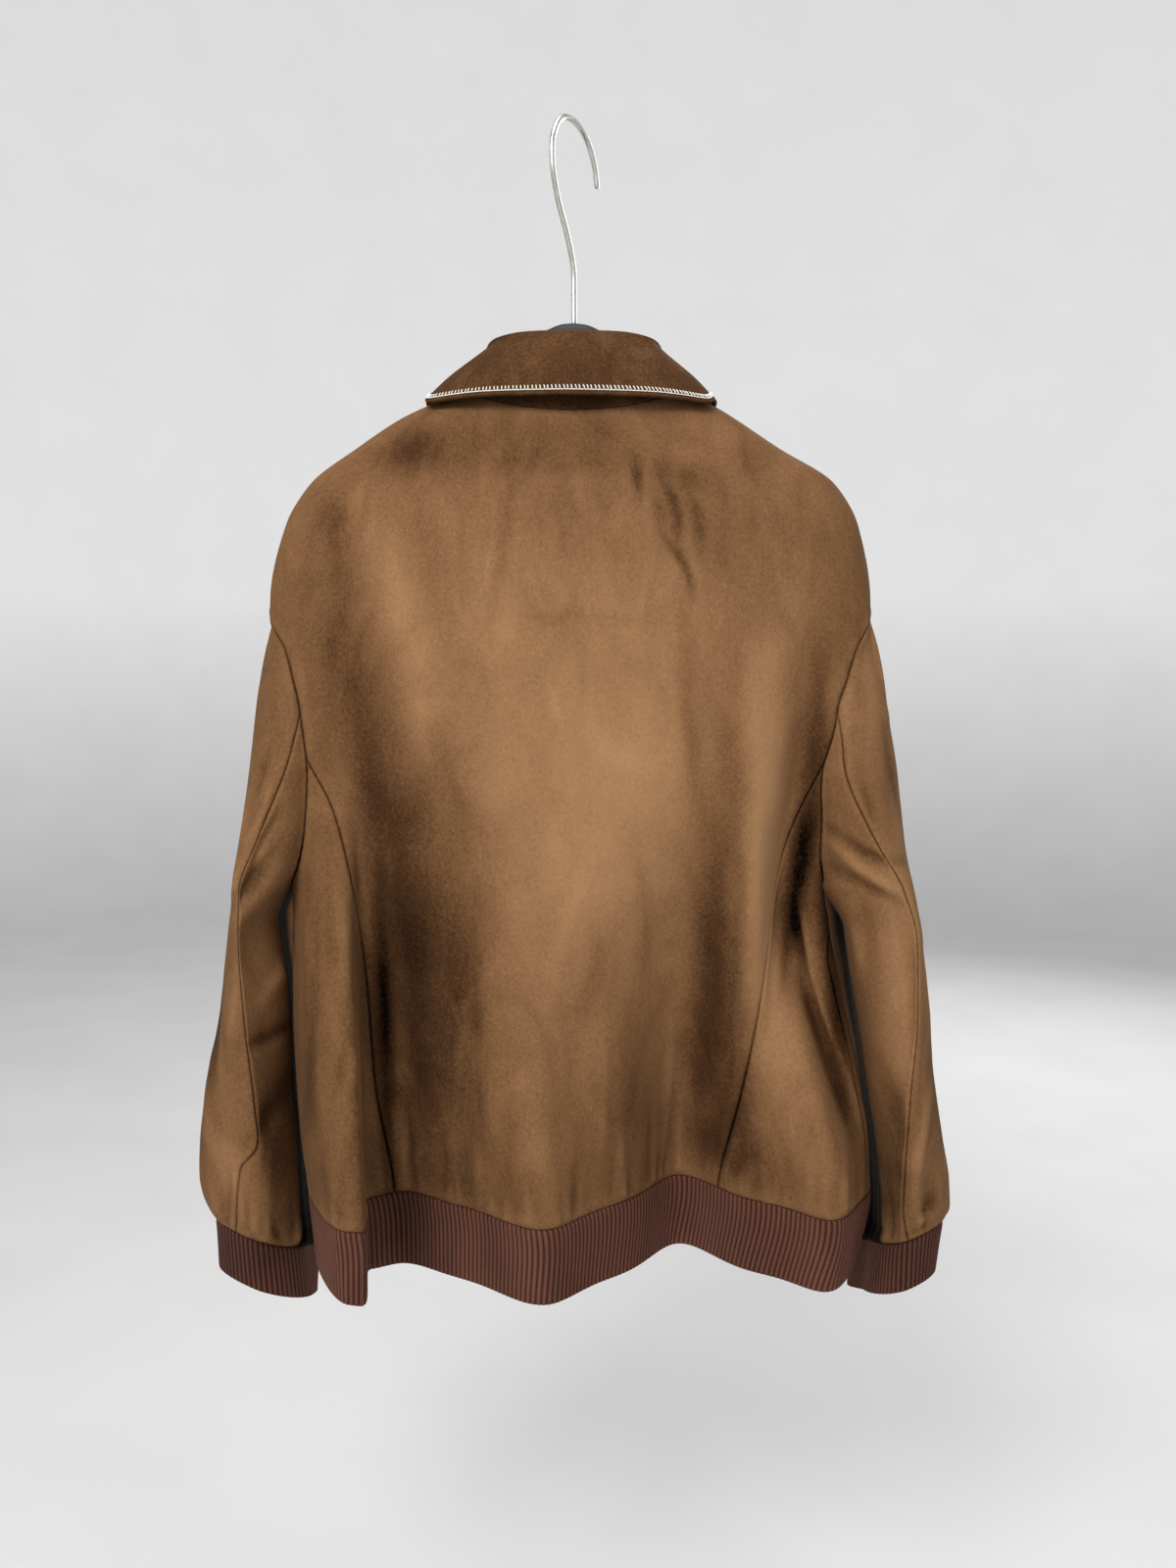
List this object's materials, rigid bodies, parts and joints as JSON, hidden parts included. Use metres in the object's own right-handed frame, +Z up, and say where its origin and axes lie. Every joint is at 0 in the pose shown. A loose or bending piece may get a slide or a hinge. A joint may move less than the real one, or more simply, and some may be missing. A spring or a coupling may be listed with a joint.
{
  "type": "suede jacket on a hanger",
  "caption": "Suede jacket with a turned-down collar, ribbed knit hem and cuffs and a front zip, hanging on a moulded hanger with a steel hook.",
  "frame": {"origin": "inside of the hook's crown, where it rests on a rail", "axes": "+Z up, -Y the jacket's front, +Y its back, +X the wearer's left"},
  "size_m": [0.5938, 0.1963, 0.9062],
  "materials": {
    "suede": "matte napped brown suede",
    "knit": "matte ribbed knit",
    "zip_metal": "satin",
    "hanger_plastic": "satin black",
    "hook_steel": "satin nickel"
  },
  "bodies": {
    "jacket": {"back": "suede", "front_left": "suede", "front_right": "suede", "side_left": "suede", "side_right": "suede", "sleeve_top_left": "suede", "sleeve_top_right": "suede", "sleeve_under_left": "suede", "sleeve_under_right": "suede", "collar_stand": "suede", "collar_leaf": "suede", "hem_rib": "knit", "cuff_left": "knit", "cuff_right": "knit", "zip_chain": "zip_metal", "zip_slider": "zip_metal", "hanger_body": "hanger_plastic", "hanger_hook": "hook_steel"},
    "pull": {"zip_pull": "zip_metal"}
  },
  "joints": [
    {"name": "zip_pull_hinge", "type": "hinge", "parent": "jacket", "child": "pull", "pos_m": [0, -0.07722, -0.293], "axis": [-1, 0, 0], "range_deg": [0, 150]}
  ]
}
